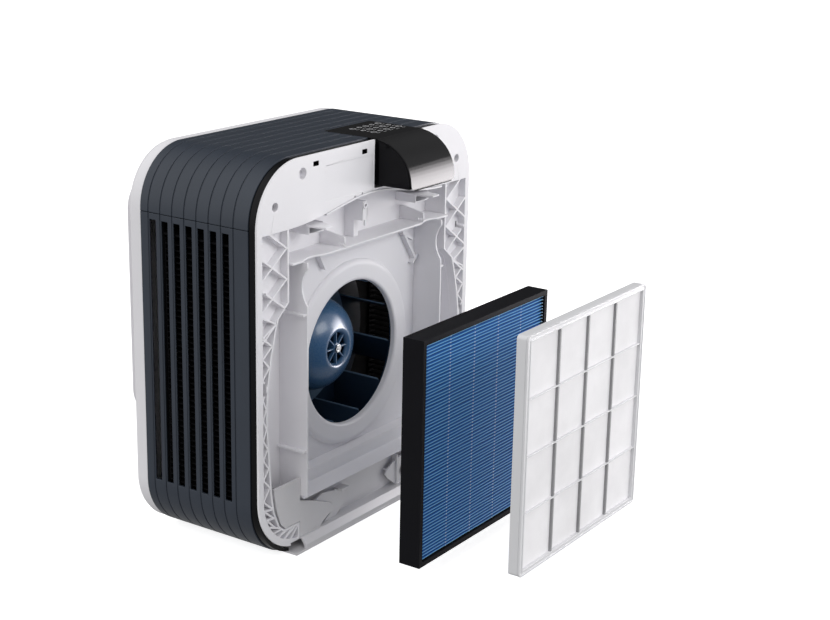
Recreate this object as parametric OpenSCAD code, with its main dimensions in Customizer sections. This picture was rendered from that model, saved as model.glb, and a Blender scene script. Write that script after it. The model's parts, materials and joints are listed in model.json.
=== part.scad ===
// Console air purifier with its front cover off and its two filters drawn out.
// Millimetres. +Z is up, the filter side faces -Y, and +X is to the right seen from the front.
// The origin is on the floor, under the middle of the grooved wrap.

/* [Body] */
// Width of the grooved wrap
body_w = 420; // [410:1:430]
// Height of the body
body_h = 470; // [466:1:476]
// Depth of the grooved wrap, front to back
wrap_d = 159; // [156:1:164]
// Outer corner radius of the body
corner_r = 71; // [66:1:74]
// Wall thickness of the wrap
wrap_t = 3; // [2.5:0.5:4]

/* [Wrap grooves and outlet slots] */
// Number of grooves round the wrap
groove_n = 8; // [4:1:8]
// Distance from one groove to the next
groove_pitch = 18; // [16:0.5:18]
// Distance of the first groove from the rear edge of the wrap
groove_first = 13; // [10:1:16]
// Groove width
groove_w = 1.6; // [1:0.2:3]
// Groove depth
groove_depth = 1.2; // [0.6:0.2:1.6]
// Width of one outlet slot
slot_w = 10.5; // [8:0.5:12]
// Height of the bottom of the slots
slot_low = 74; // [70:1:90]
// Height of the top of the slots
slot_high = 390; // [360:1:392]

/* [Filters] */
// Width of the fine filter
hepa_w = 266; // [258:1:266]
// Height of the fine filter
hepa_h = 268.6; // [262:0.2:269]
// Thickness of the fine filter
hepa_t = 27.4; // [24:0.2:27.4]
// Number of pleats
pleat_n = 66; // [40:1:70]
// Width of the prefilter
pre_w = 267; // [258:0.2:272]
// Height of the prefilter
pre_h = 273.4; // [262:0.2:275]
// Thickness of the prefilter
pre_t = 14.6; // [13:0.1:16.9]

/* [Filters, drawn out] */
// Distance of the fine filter's middle in front of the body's middle
hepa_out = 247.2; // [240:0.2:260]
// Height of the fine filter's middle
hepa_low = 154.4; // [150:0.2:165]
// Distance of the prefilter's middle in front of the body's middle
pre_out = 384.2; // [370:0.2:400]
// Height of the prefilter's middle
pre_low = 182.5; // [170:0.5:190]

/* [Fan] */
// Radius of the inlet opening
inlet_r = 89.6; // [84:0.2:92]
// Height of the fan axis
fan_z = 204.8; // [200:0.2:210]
// Number of blades
blade_n = 11; // [7:1:12]
// Outer radius of the impeller
fan_r = 126; // [115:1:128]
// Radius of the domed hub
hub_r = 58; // [50:1:60]
// Radius of the motor shaft
shaft_r = 4; // [3:0.5:5]

/* [Hidden] */

fine = 96;                                  // facets of a true circle
fit_gap = 0.3;                              // clearance between pieces that move past each other

// depth planes, front to back
wrap_front = -wrap_d / 2;
wrap_rear = wrap_d / 2;
frame_front = -94;                          // face of the white front frame
frame_back = -82;
rim_front = -91;
chassis_front = -63;                        // floor of the filter well
chassis_t = 3;
tray_front = -104;                          // front edges of the filter tray
seal_y = -80;                               // step that the fine filter closes against
apron_front = -103;
motor_plate_y = 48;
cover_back = 100;
panel_back = 112;

// heights
seam_z = body_h - corner_r - 1;             // joint between the top and side wraps
frame_low = 9;                              // bottom of the front frame
header_z = 392;                             // bottom of the frame's plain top area
header_rise = 17.5;                         // how far its lower edge rises in the middle
shelf_z = 353.5;                            // top of the shelf over the filter well
seal_low = 87;                              // inner step of the ledge
ledge_z = 71;                               // outer step of the ledge
apron_z = 62;

// display
display_x0 = 8;
display_x1 = 100;
display_z = 412.5;                          // its underside
display_nose = -144;                        // furthest forward
sweep_top = -94;                            // where its curve starts at the top
touch_rear = -13;
touch_t = 1.4;

// half widths
frame_half = 212;
base_half = 154.5;                          // white base between the two side wraps
tray_half = 134;                            // inside of the filter tray
tray_t = 2.5;
well_half = 156.5;                          // upright wall of the well, upper part
band_inset = 9;                             // from the frame's edge to its rib band
frame_r = corner_r + frame_half - body_w / 2;

// filters at rest, their seats and the way between them
hepa_seat_y = seal_y - fit_gap - hepa_t / 2;
hepa_seat_z = ledge_z + fit_gap + hepa_h / 2;
hepa_slope = (hepa_seat_z - hepa_low) / (hepa_out + hepa_seat_y);

// fan
inlet_lip = -60.5;                          // rear edge of the inlet's short spigot
blade_front = -57.6;
blade_in = 89;                              // radius of the blades' leading edges
blade_corner = 5;
blade_lean = 50;                            // lean back from the radius, degrees
blade_phase = 5.6;                          // turn of the first blade at rest, degrees
impeller_back = 14;
shroud_in = 96;
shroud_slope = 0.42;                        // how fast the shroud runs back with radius
hub_nose = -47;
hub_hole_r = 20;
hub_mid = -11;                              // plane of the hub's largest radius
can_front = 20;
can_r = 40;

// ---------- helpers ----------

// Stands a flat shape up in the X-Z plane and gives it depth from y0 to y1.
module standing(y0, y1) {
    translate([0, y1, 0]) rotate([90, 0, 0]) linear_extrude(y1 - y0) children();
}

// Extrudes a Y-Z profile along X from x0 to x1.
module along_x(x0, x1) {
    translate([x0, 0, 0]) rotate([90, 0, 90]) linear_extrude(x1 - x0) children();
}

// A box between two opposite corners.
module block(low, high) {
    translate(low) cube(high - low);
}

// A cylinder along Y.
module rod_y(r, y0, y1, x = 0, z = 0) {
    translate([x, y1, z]) rotate([90, 0, 0]) cylinder(r = r, h = y1 - y0, $fn = fine);
}

// A profile of [radius, y] points turned round the fan axis.
module fan_turned(profile) {
    translate([0, 0, fan_z]) rotate([90, 0, 0]) rotate_extrude($fn = fine)
        polygon([for (p = profile) [p[0], -p[1]]]);
}

module rounded_rect(w, h, r) {
    square([w - 2 * r, h], center = true);
    square([w, h - 2 * r], center = true);
    for (sx = [-1, 1], sz = [-1, 1])
        translate([sx * (w / 2 - r), sz * (h / 2 - r)]) circle(r = r, $fn = fine);
}

module body_outline(inset = 0) {
    translate([0, body_h / 2])
        rounded_rect(body_w - 2 * inset, body_h - 2 * inset, corner_r - inset);
}

module frame_outline(inset = 0) {
    translate([0, (body_h + frame_low) / 2])
        rounded_rect(2 * (frame_half - inset), body_h - frame_low - 2 * inset, frame_r - inset);
}

// ---------- the wrap ----------

function groove_y(k) = wrap_rear - groove_first - k * groove_pitch;

module wrap_shell() {
    difference() {
        standing(wrap_front, wrap_rear) difference() {
            body_outline();
            body_outline(wrap_t);
        }
        for (k = [0:groove_n - 1])
            standing(groove_y(k), groove_y(k) + groove_w) difference() {
                body_outline(-2);
                body_outline(groove_depth);
            }
    }
}

module wrap_top() {
    color("#4a505c") difference() {
        intersection() {
            wrap_shell();
            block([-body_w, -body_w, seam_z], [body_w, body_w, 2 * body_h]);
        }
        block([display_x0 + 1, wrap_front - 1, body_h - touch_t],
            [display_x1 + 4, touch_rear, body_h + 1]);
    }
}

module wrap_side(side) {
    color("#4a505c") difference() {
        intersection() {
            wrap_shell();
            mirror([side < 0 ? 1 : 0, 0, 0])
                block([base_half + 0.5, -body_w, -1], [body_w, body_w, seam_z - 0.6]);
        }
        for (k = [0:groove_n - 2])
            block([-body_w, groove_y(k) - slot_w, slot_low], [body_w, groove_y(k), slot_high]);
    }
}

module wrap_left() { wrap_side(-1); }
module wrap_right() { wrap_side(1); }

module rim_band() {
    color("#16181b") difference() {
        standing(rim_front, wrap_front) difference() {
            body_outline(1.5);
            body_outline(6);
        }
        block([-base_half, -body_w, -1], [base_half, body_w, frame_low + 8]);
        block([display_x0 - 2, -body_w, body_h - 30], [display_x1 + 2, body_w, body_h + 1]);
    }
}

module base_plate() {
    color("#e6e6ea") difference() {
        block([-base_half, apron_front, 0], [base_half, wrap_rear, 3]);
        for (sx = [-1, 1], y = [-80, 55])
            translate([sx * 120, y, -1]) cylinder(r = 12.1, h = 2.5, $fn = fine);
    }
}

module base_pads() {
    color("#333333") for (sx = [-1, 1], y = [-80, 55])
        translate([sx * 120, y, 0]) cylinder(r = 12, h = 1.5, $fn = fine);
}

// ---------- the front frame ----------

// Half width of the filter well at height z: straight at the top, then a shallow
// outward arc centred on the fan, then straight down to the bottom corner.
arc_mid_z = 176;
arc_half = 195;
arc_r = 339;
arc_top = 286;
arc_foot = 86;
well_corner = [181, 56];
function well_x(z) =
    z > arc_top + 20 ? well_half :
    z > arc_mid_z ? arc_half - (z - arc_mid_z) * (z - arc_mid_z) / (2 * arc_r)
        - (z > arc_top ? 0.12 * (z - arc_top) : 0) :
    arc_half - 0.078 * (arc_mid_z - z);

// The header's lower edge, flat at its ends and rising to the middle.
function header_edge(x) = header_z + header_rise * pow(cos(90 * x / well_half), 2.3);

// Right-hand boundary of the well from the bottom up, moved outwards by g.
function well_right(g) = concat(
    [[base_half - 16.5 + g, frame_low + 26.5 - g], [base_half + 12, frame_low + 26.5 - g],
        [well_corner[0] - 6 + g, well_corner[1] - 13], [well_corner[0] + 3 + g, well_corner[1] + 8]],
    [for (z = [arc_foot:15:arc_top]) [well_x(z) + g, z]],
    [[well_x(arc_top + 6) + g, arc_top + 7], [well_half + g, arc_top + 22], [well_half + g, header_z]]);

function mirrored(points) = [for (i = [len(points) - 1:-1:0]) [-points[i][0], points[i][1]]];

module well_shape(g = 0) {
    polygon(concat(
        [[base_half - 16.5 + g, -20]],
        well_right(g),
        [for (x = [well_half - 12:-12:-well_half + 6]) [x, header_edge(x) + g]],
        mirrored(well_right(g)),
        [[-base_half + 16.5 - g, -20]]));
}

module rib_band_shape() {
    difference() {
        frame_outline(band_inset);
        well_shape(3);
        translate([-body_w, header_z]) square([2 * body_w, body_h]);
        translate([-base_half + 14, -20]) square([2 * base_half - 28, 120]);
    }
}

// One thin rib between two points of the X-Z plane.
module rib(a, b, t = 2.2) {
    len_ab = norm(b - a);
    translate(a) rotate(atan2(b[1] - a[1], b[0] - a[0]))
        translate([-t / 2, -t / 2]) square([len_ab + t, t]);
}

rib_pitch = 35.4;
rib_apex_z = 371.5;
rim_x = frame_half - band_inset;
corner_z = frame_low + frame_r;
corner_in = frame_r - band_inset;
function rim_point(i) =                      // outer end of zigzag rib i, down and round the corner
    i < 9 ? [rim_x, 300 - 24 * i] :
    [frame_half - frame_r + corner_in * cos(11 * (i - 9)), corner_z - corner_in * sin(11 * (i - 9))];
function wall_point(i) =                     // inner end of zigzag rib i
    i < 9 ? [well_x(288 - 24 * i) + 3, 288 - 24 * i] :
    i < 12 ? [well_corner[0] + 6 - 2 * (i - 9), well_corner[1] + 12 - 12 * (i - 9)] :
    [well_corner[0] - 4 - 10 * (i - 11), frame_low + 28];

module rib_lattice() {
    for (k = [0:2]) {
        apex = [well_half + 4, rib_apex_z - k * rib_pitch];
        rib(apex, apex + [44, 30.8]);
        rib(apex, apex + [44, -30.8]);
    }
    for (i = [0:15]) {
        rib(rim_point(i), wall_point(i));
        rib(wall_point(i), rim_point(i + 1));
    }
}

hole_round = [[180.6, 421.3, 5], [132, 451, 6.5]];

// Shallow recess for the rating label, and two marks on the seam.
label_low = [-90, 411.5];
label_high = [2, 453];
module header_marks() {
    block([label_low[0], frame_front - 1, label_low[1]], [label_high[0], frame_front + 0.5, label_high[1]]);
    for (x = [-34, -20])
        block([x - 1.5, frame_front - 1, header_edge(x) - 1], [x + 1.5, frame_front + 4, header_edge(x) + 2]);
}

module front_frame() {
    color("#f2f2f6") difference() {
        standing(frame_front, frame_back) difference() {
            frame_outline();
            well_shape();
        }
        standing(rim_front - fit_gap, frame_back + 1) difference() {
            frame_outline(-2);
            body_outline(6 + fit_gap);
        }
        difference() {
            standing(frame_front - 1, frame_back - 2) rib_band_shape();
            standing(frame_front - 2, frame_back) for (s = [0, 1]) mirror([s, 0]) rib_lattice();
        }
        for (s = [-1, 1], h = hole_round)
            rod_y(h[2], frame_front - 1, frame_front + 8, s * h[0], h[1]);
        for (s = [-1, 1]) rod_y(2.1, frame_front, frame_back + 1, s * hole_round[0][0], hole_round[0][1]);
        for (x = [-108, -16, 108])
            block([x - 5, frame_front - 1, 456], [x + 5, frame_back + 1, 461.5]);
        for (s = [-1, 1], p = [[198.5, 327], [199, 216]])
            block([s * p[0] - 1.6, frame_front - 1, p[1] - 8], [s * p[0] + 1.6, frame_back + 1, p[1] + 8]);
        header_marks();
        block([display_x0 - 4, frame_front - 1, display_z - 1],
            [display_x1 + 4, frame_back + 1, body_h + 1]);
        block([-base_half, frame_front - 1, -1], [base_half, frame_back + 1, frame_low + 5]);
    }
}

// The wall of the filter well, behind the front frame, in three stretches.
module well_wall_ring() {
    standing(frame_back, chassis_front) difference() {
        well_shape(3);
        well_shape();
        translate([-body_w, -50]) square([2 * body_w, 50 + frame_low + 27]);
    }
}

module well_wall_side(side) {
    color("#f2f2f6") intersection() {
        well_wall_ring();
        mirror([side < 0 ? 1 : 0, 0, 0]) block([base_half - 18, -body_w, 0], [body_w, 0, header_z - 4]);
    }
}

module well_wall_left() { well_wall_side(-1); }
module well_wall_right() { well_wall_side(1); }

// Above the well: a lip that follows the header's edge, from the front to the chassis plate.
module well_wall_top() {
    lip_from = -87;
    lip_to = 150;
    lip_gap = 0.7;
    lip_t = 2.6;
    color("#f2f2f6") {
        difference() {
            well_wall_ring();
            block([-body_w, -body_w, -1], [body_w, 0, header_z - 4]);
            block([lip_from - 1, -body_w, 0], [lip_to + 1, 0, body_h]);
        }
        standing(frame_front + 0.6, chassis_front) polygon(concat(
            [for (x = [lip_from:7.9:lip_to]) [x, header_edge(x) - lip_gap]],
            [for (x = [lip_to:-7.9:lip_from]) [x, header_edge(x) - lip_gap - lip_t]]));
    }
}

module frame_screws() {
    color("silver") for (s = [-1, 1]) {
        rod_y(3.6, frame_front + 5.4, frame_front + 8, s * hole_round[0][0], hole_round[0][1]);
        rod_y(2, frame_front + 8, frame_back + 6, s * hole_round[0][0], hole_round[0][1]);
    }
}

// ---------- the filter well ----------

module chassis_plate() {
    strut_out = 7;
    color("#e8e8ee") difference() {
        union() {
            standing(chassis_front, chassis_front + chassis_t) body_outline(wrap_t + 1);
            for (s = [-1, 1]) standing(chassis_front - strut_out, chassis_front) {
                rib([s * 101, 335], [s * 121, 324], 3);
                rib([s * 106, 330], [s * 129, 297], 3.4);
                rib([s * 124, 293], [s * 132, 302], 3);
            }
            standing(chassis_front - strut_out, chassis_front) rib([-68, 340], [-58, 323], 3);
        }
        rod_y(inlet_r + 14, chassis_front - 1, chassis_front + chassis_t + 1, 0, fan_z);
    }
}

module tray_side(side) {
    notch_z = 322;
    color("#ececf1") mirror([side < 0 ? 1 : 0, 0, 0]) {
        difference() {
            block([tray_half, tray_front, ledge_z - 2.5],
                [tray_half + tray_t, chassis_front, shelf_z - tray_t]);
            translate([tray_half - 1, tray_front - 26, notch_z]) rotate([0, 90, 0])
                cylinder(r = 34, h = tray_t + 2, $fn = fine);
        }
        for (z = [124, 289])
            block([tray_half + tray_t, tray_front + 1, z], [tray_half + tray_t + 6, chassis_front, z + 2.5]);
    }
}

module tray_side_left() { tray_side(-1); }
module tray_side_right() { tray_side(1); }

// The shelf's front edge is set back in a soft notch towards each end. Two ribs stand on it,
// and the post stands between them.
module tray_shelf() {
    half = well_half - 0.3;
    edge_y = -99;
    notch_mid = 118;
    notch_half = 26;
    notch_in = 6;
    function edge(x) = edge_y + (abs(x - notch_mid) > notch_half ? 0 :
        notch_in * (1 + cos(180 * (x - notch_mid) / notch_half)) / 2);
    edge_right = [for (x = [notch_mid - notch_half:4:notch_mid + notch_half]) [x, edge(x)]];
    color("#f0f0f5") {
        translate([0, 0, shelf_z - tray_t]) linear_extrude(tray_t) polygon(concat(
            [[half, chassis_front], [-half, chassis_front], [-half, edge_y]],
            mirrored(edge_right), edge_right, [[half, edge_y]]));
        for (x = [-61, 101]) along_x(x, x + 2) polygon([
            [chassis_front, shelf_z], [chassis_front, shelf_z + 17], [chassis_front - 6, shelf_z + 17],
            [edge_y, shelf_z + 12], [edge_y, shelf_z + 4.5], [edge_y + 8, shelf_z + 4.5],
            [edge_y + 8, shelf_z + 2.5], [edge_y, shelf_z + 2.5], [edge_y, shelf_z]]);
    }
}

module tray_ledge() {
    lip_y = -98;
    ramp_z = ledge_z - hepa_slope * (seal_y - lip_y) - 0.2;
    color("#ececf1") along_x(-tray_half, tray_half) polygon([
        [chassis_front, seal_low], [seal_y, seal_low], [seal_y, ledge_z], [lip_y, ramp_z],
        [lip_y, ramp_z - 1], [seal_y + 2.4, ledge_z - 2.2], [seal_y + 2.4, seal_low - 2.4],
        [chassis_front, seal_low - 2.4]]);
}

// The skirt under the tray: a lip along the floor, a wall set back above it, and on each side
// a curved flap that runs out into the corner of the well, over a lower panel.
module front_apron() {
    recess_y = -84;
    reach = base_half - 17;
    lip = [[apron_front, 3], [apron_front, 8], [-97, 16], [recess_y, 17]];
    flap_y = -94;
    flap_r = 6;
    beside_tray = tray_half + tray_t + 0.8;
    corner_top = 91;
    color("#dcdce0") {
        along_x(-reach, reach) polygon(concat(lip,
            [[recess_y, apron_z], [recess_y + 3, apron_z], [recess_y + 3, 14.5], [-95.8, 13.5],
                [apron_front + 3, 6.5], [apron_front + 3, 3]]));
        for (s = [0, 1]) mirror([s, 0, 0]) {
            standing(flap_y, flap_y + 3) {
                polygon([[reach, 15.5], [reach, frame_low + 27.3], [164.5, frame_low + 27.3],
                    [172.5, well_corner[1] - 12], [180, well_corner[1] + 8], [184, arc_foot - 2],
                    [184, corner_top], [beside_tray, corner_top], [beside_tray, apron_z],
                    [108, 52], [80 - 0.3 * flap_r, 33 + flap_r], [80 - flap_r, 33],
                    [80 - 0.4 * flap_r, 28], [92, 21], [99, 15.5]]);
                translate([80, 33]) circle(r = flap_r, $fn = fine);
            }
            standing(flap_y + 3.5, flap_y + 5.5) difference() {
                polygon([[104, 16], [104, 51], [90, 55], [58, 49], [44, 42], [40, 36], [46, 29], [63, 16]]);
                polygon([[98, 15], [88, 15], [74, 25], [70, 32], [75, 38], [78, 32], [86, 24]]);
            }
            block([102, flap_y + 2.5, 16], [104, recess_y + 1, 51]);
            block([44, flap_y + 4, 40], [46, recess_y + 1, 42.5]);
            block([reach - 4, flap_y + 1, 16], [reach - 1, recess_y + 1, apron_z - 4]);
        }
        block([62, recess_y - 9, 16], [64.5, recess_y, 57]);
        block([-58, recess_y - 12, 47], [-43, recess_y, 50.5]);
    }
}

module inlet_bellmouth() {
    crown = 5;
    ring_r = 116;
    color("#e6e6ec") fan_turned(concat(
        [[ring_r, chassis_front - 0.05], [inlet_r + 14.5, chassis_front - 0.05],
            [inlet_r + 2.5, chassis_front + 1], [inlet_r + 2.5, inlet_lip],
            [inlet_r, inlet_lip], [inlet_r, chassis_front - 2]],
        [for (a = [180:-15:90]) [inlet_r + 4 + 4 * cos(a), chassis_front - 2 - 3 * sin(a)]],
        [for (a = [90:-15:15]) [ring_r - 8 + 8 * cos(a), chassis_front - crown * sin(a)]]));
}

// The post of the cover's screw: deep at the top, set back below.
module screw_post() {
    post = [-13.5, -5];
    front = -90;
    step_z = 375;
    top_z = 398;
    color("#f0f0f5") difference() {
        union() {
            block([post[0], front, step_z], [post[1], chassis_front, top_z]);
            block([post[0], front + 13, shelf_z], [post[1], chassis_front, step_z]);
            block([post[1] - 3.5, front, step_z - 7], [post[1], front + 2.5, step_z]);
            rod_y(4.2, front - 1.5, front, -9.2, 393);
        }
        rod_y(1.9, front - 2, front + 14, -9.2, 393);
    }
}

// A flat tongue that comes out of a small window under the header.
module latch_tongue(side) {
    window = [92, 378.5, 120];
    window_top = header_z - 2.5;
    wall = 1.5;
    tongue_z = 386.6;
    tip_y = -113;
    color("#f6f6fa") mirror([side < 0 ? 1 : 0, 0, 0]) {
        translate([0, 0, tongue_z]) linear_extrude(2) polygon([
            [window[0] + 2, chassis_front], [window[2] - 2, chassis_front], [window[2] - 2, frame_front],
            [window[2] - 6, tip_y], [window[0] + 9, tip_y], [window[0] + 2, frame_front]]);
        block([window[0], frame_front + 1, window[1]], [window[2], chassis_front, window[1] + wall]);
        for (x = [window[0], window[2] - wall])
            block([x, frame_front + 1, window[1]], [x + wall, chassis_front, window_top]);
    }
}

module latch_tongue_left() { latch_tongue(-1); }
module latch_tongue_right() { latch_tongue(1); }

// The cover switch sits behind the frame's slot at x = -16.
module interlock_switch() {
    color("#222222") difference() {
        block([-26, frame_back + 2, 450], [-6, frame_back + 18, 463]);
        block([-19.5, frame_back + 1, 455.9], [-12.5, frame_back + 12, 461.1]);
    }
}

module interlock_plunger() {
    color("#0e0e0e") block([-19, frame_front + 4, 456.4], [-13, frame_back + 7.5, 460.6]);
}

// ---------- display ----------

// Height above the display's bottom and distance forward, from the top edge to the nose.
function sweep(a, inset) =
    [sweep_top - (-display_nose + sweep_top - inset) * pow(sin(a), 1.15),
        display_z + inset + (body_h - display_z - 2 * inset) * pow(cos(a), 0.8)];

module display_window() {
    color("#1a1a1c") along_x(display_x0, display_x1) polygon(concat(
        [for (a = [0:6:90]) sweep(a, 0)],
        [for (a = [90:-6:0]) sweep(a, 2.5)]));
}

module display_housing() {
    color("#0d0d0f") difference() {
        along_x(display_x0 + 0.2, display_x1 - 0.2) polygon(concat(
            [[chassis_front - 6, display_z + 2.5], [chassis_front - 6, body_h - wrap_t - 1]],
            [[wrap_front - 2, body_h - wrap_t - 1], [rim_front, body_h - 3]],
            [for (a = [0:6:90]) sweep(a, 2.7)]));
        along_x(display_x0 + 2.5, display_x1 - 2.5) polygon(concat(
            [[chassis_front - 8, display_z + 5], [chassis_front - 8, body_h - wrap_t - 4]],
            [[wrap_front - 2, body_h - wrap_t - 4], [rim_front, body_h - 6]],
            [for (a = [6:6:84]) sweep(a, 5.2)]));
    }
}

module display_board() {
    color("darkgreen") translate([(display_x0 + display_x1) / 2, -104, 438]) rotate([-38, 0, 0])
        cube([80, 1.6, 30], center = true);
}

module touch_panel() {
    color("#202226") block([display_x0 + 1.2, sweep_top + 0.3, body_h - touch_t + 0.05],
        [display_x1 + 3.8, touch_rear - 0.2, body_h]);
}

// ---------- fan chamber and motor ----------

module chamber_wall(z) {
    color("#1c1d20") block([-body_w / 2 + wrap_t + 1, chassis_front + chassis_t, z],
        [body_w / 2 - wrap_t - 1, motor_plate_y, z + 2.5]);
}

module chamber_roof() { chamber_wall(374); }
module chamber_floor() { chamber_wall(60); }

// Inside each row of slots: thin level fins that keep fingers out and let the air through.
module outlet_guard(side) {
    fin_x = [189, body_w / 2 - wrap_t - 1];
    fin_y = [chassis_front + chassis_t + 1.5, motor_plate_y - 1.5];
    fin_z = [77, 371];
    fin_pitch = 7;
    fin_t = 1.2;
    color("#141517") mirror([side < 0 ? 1 : 0, 0, 0]) {
        for (z = [fin_z[0]:fin_pitch:fin_z[1] - fin_pitch])
            block([fin_x[0], fin_y[0], z], [fin_x[1], fin_y[1], z + fin_t]);
        for (y = [fin_y[0], fin_y[1] - fin_t])
            block([fin_x[0], y, fin_z[0]], [fin_x[1], y + fin_t, fin_z[1]]);
    }
}

module outlet_guard_left() { outlet_guard(-1); }
module outlet_guard_right() { outlet_guard(1); }

screw_ring = 33;
function motor_screw(i) = [screw_ring * cos(45 + 90 * i), fan_z + screw_ring * sin(45 + 90 * i)];

module motor_plate() {
    color("#1e1f22") difference() {
        standing(motor_plate_y, motor_plate_y + 3) body_outline(wrap_t + 1);
        rod_y(12.2, motor_plate_y - 1, motor_plate_y + 4, 0, fan_z);
        for (i = [0:3])
            rod_y(2.2, motor_plate_y - 1, motor_plate_y + 4, motor_screw(i)[0], motor_screw(i)[1]);
    }
}

module motor_screws() {
    color("silver") for (i = [0:3]) {
        rod_y(2, motor_plate_y - 8, motor_plate_y + 3, motor_screw(i)[0], motor_screw(i)[1]);
        rod_y(3.8, motor_plate_y + 3, motor_plate_y + 5.4, motor_screw(i)[0], motor_screw(i)[1]);
    }
}

module motor_can() {
    color("#9a9da2") difference() {
        union() {
            rod_y(can_r, can_front, motor_plate_y, 0, fan_z);
            rod_y(12, motor_plate_y, motor_plate_y + 8, 0, fan_z);
        }
        rod_y(can_r - 2, can_front + 2, motor_plate_y - 2, 0, fan_z);
        rod_y(9, can_front - 1, can_front + 6, 0, fan_z);
        rod_y(9, motor_plate_y - 3, motor_plate_y + 6, 0, fan_z);
        for (i = [0:3]) rod_y(2, motor_plate_y - 3, motor_plate_y + 1, motor_screw(i)[0], motor_screw(i)[1]);
    }
}

module motor_stator() {
    color("#b8652f") difference() {
        rod_y(30, can_front + 5, motor_plate_y - 9, 0, fan_z);
        rod_y(19.5, can_front + 4, motor_plate_y - 8, 0, fan_z);
    }
    color("#8d9094") difference() {
        rod_y(can_r - 2, can_front + 9, motor_plate_y - 13, 0, fan_z);
        rod_y(30, can_front + 8, motor_plate_y - 12, 0, fan_z);
    }
}

module bearing(y0) {
    color("#b5b8bd") difference() {
        rod_y(9, y0, y0 + 5, 0, fan_z);
        rod_y(shaft_r + 0.05, y0 - 1, y0 + 6, 0, fan_z);
    }
}

module front_bearing() { bearing(can_front); }
module rear_bearing() { bearing(motor_plate_y + 1); }

module motor_rotor() {
    color("#6f7378") difference() {
        rod_y(18.5, can_front + 6.5, motor_plate_y - 10, 0, fan_z);
        rod_y(shaft_r, can_front + 5, motor_plate_y - 9, 0, fan_z);
    }
}

module motor_shaft() {
    color("#c9ccd1") {
        rod_y(shaft_r, hub_nose + 4, motor_plate_y + 6, 0, fan_z);
        rod_y(2, hub_nose + 0.4, hub_nose + 4, 0, fan_z);
    }
}

// The hub is a thin dome with a rimmed hole in its nose.
function dome(r, depth, a) = [r * cos(a), hub_mid - depth * sin(a)];
dome_depth = (hub_mid - hub_nose) / sin(acos(hub_hole_r / hub_r));
dome_end = acos(hub_hole_r / hub_r);

module impeller_hub() {
    wall = 2;
    inner_r = hub_r - wall;
    inner_end = acos(hub_hole_r / inner_r);
    color("#4b6d93") fan_turned(concat(
        [[hub_r, impeller_back]],
        [for (i = [0:12]) dome(hub_r, dome_depth, dome_end * i / 12)],
        [[hub_hole_r, hub_nose + 9], [hub_hole_r + wall, hub_nose + 9]],
        [for (i = [11:-1:0]) dome(inner_r, dome_depth - wall, inner_end * i / 12)],
        [[inner_r, impeller_back]]));
}

// Eight spokes from the sleeve on the shaft to the rim of the hole.
module hub_spokes() {
    color("#4b6d93") difference() {
        union() {
            rod_y(6.5, hub_nose + 4, impeller_back, 0, fan_z);
            for (i = [0:7]) translate([0, 0, fan_z]) rotate([0, 45 * i, 0])
                block([5, hub_nose + 4.5, -0.8], [hub_hole_r - 0.1, hub_nose + 9, 0.8]);
        }
        rod_y(shaft_r, hub_nose + 3, impeller_back + 1, 0, fan_z);
    }
}

// Rear face of the shroud at radius r.
function shroud_y(r) = blade_front + 3.5 + shroud_slope * (r - shroud_in);

// One flat blade in its own plane: length along X, depth along Y, front corner rounded.
module blade_shape(length) {
    polygon(concat(
        [for (a = [0:15:90])
            [blade_corner * (1 - cos(a)), blade_front + blade_corner * (1 - sin(a))]],
        [[length, blade_front], [length, impeller_back], [0, impeller_back]]));
}

// Flat blades round the inlet, leaning back from the direction of turning.
module impeller_blades() {
    color("#24364f") difference() {
        for (i = [0:blade_n - 1])
            translate([0, 0, fan_z]) rotate([0, 360 / blade_n * i + blade_phase, 0])
                translate([blade_in, 0, 0]) rotate([0, blade_lean, 0])
                    linear_extrude(1.8) blade_shape(54);
        difference() {
            rod_y(2 * fan_r, blade_front - 5, impeller_back + 5, 0, fan_z);
            rod_y(fan_r - 0.5, blade_front - 6, impeller_back + 6, 0, fan_z);
        }
        fan_turned([[shroud_in, blade_front - 1], [2 * fan_r, blade_front - 1],
            [2 * fan_r, shroud_y(2 * fan_r)], [shroud_in, shroud_y(shroud_in)]]);
    }
}

module impeller_backplate() {
    color("#24364f") fan_turned([[shaft_r, impeller_back], [fan_r, impeller_back],
        [fan_r, impeller_back + 2.5], [shaft_r, impeller_back + 2.5]]);
}

module impeller_shroud() {
    wall = 2;
    color("#1b2a40") fan_turned([[shroud_in, shroud_y(shroud_in) - wall],
        [fan_r, shroud_y(fan_r) - wall], [fan_r, shroud_y(fan_r)], [shroud_in, shroud_y(shroud_in)]]);
}

module hub_nut() {
    color("#d8dade") translate([0, hub_nose + 4, fan_z]) rotate([90, 0, 0]) difference() {
        cylinder(r = 5.5, h = 3, $fn = 6);
        translate([0, 0, -2]) cylinder(r = 2, h = 8, $fn = fine);
    }
}

// ---------- electrics ----------

module control_board() {
    board_y = chassis_front + chassis_t + 8;
    color("darkgreen") block([-150, board_y, 384], [-30, board_y + 1.6, 444]);
    color("#222222") for (x = [-135, -100, -65])
        block([x, board_y + 1.6, 395], [x + 18, board_y + 10, 420]);
    color("white") for (x = [-145, -35], z = [389, 439]) rod_y(3, board_y - 8, board_y, x, z);
}

module power_board() {
    board_y = motor_plate_y + 3 + 8;
    color("darkgreen") block([60, board_y, 60], [150, board_y + 1.6, 150]);
    color("#222222") for (z = [70, 110]) block([75, board_y + 1.6, z], [105, board_y + 20, z + 22]);
    color("white") for (x = [65, 145], z = [65, 145]) rod_y(3, board_y - 8, board_y, x, z);
}

module power_inlet() {
    color("#111111") difference() {
        block([150, wrap_rear + 0.5, 30], [178, cover_back - 0.3, 50]);
        standing(cover_back - 16, cover_back + 1) translate([164, 40])
            rounded_rect(20, 9, 4.4);
    }
    color("gold") for (s = [-1, 1]) rod_y(1.2, cover_back - 18, cover_back - 5, 164 + 4.3 * s, 40);
}

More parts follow.
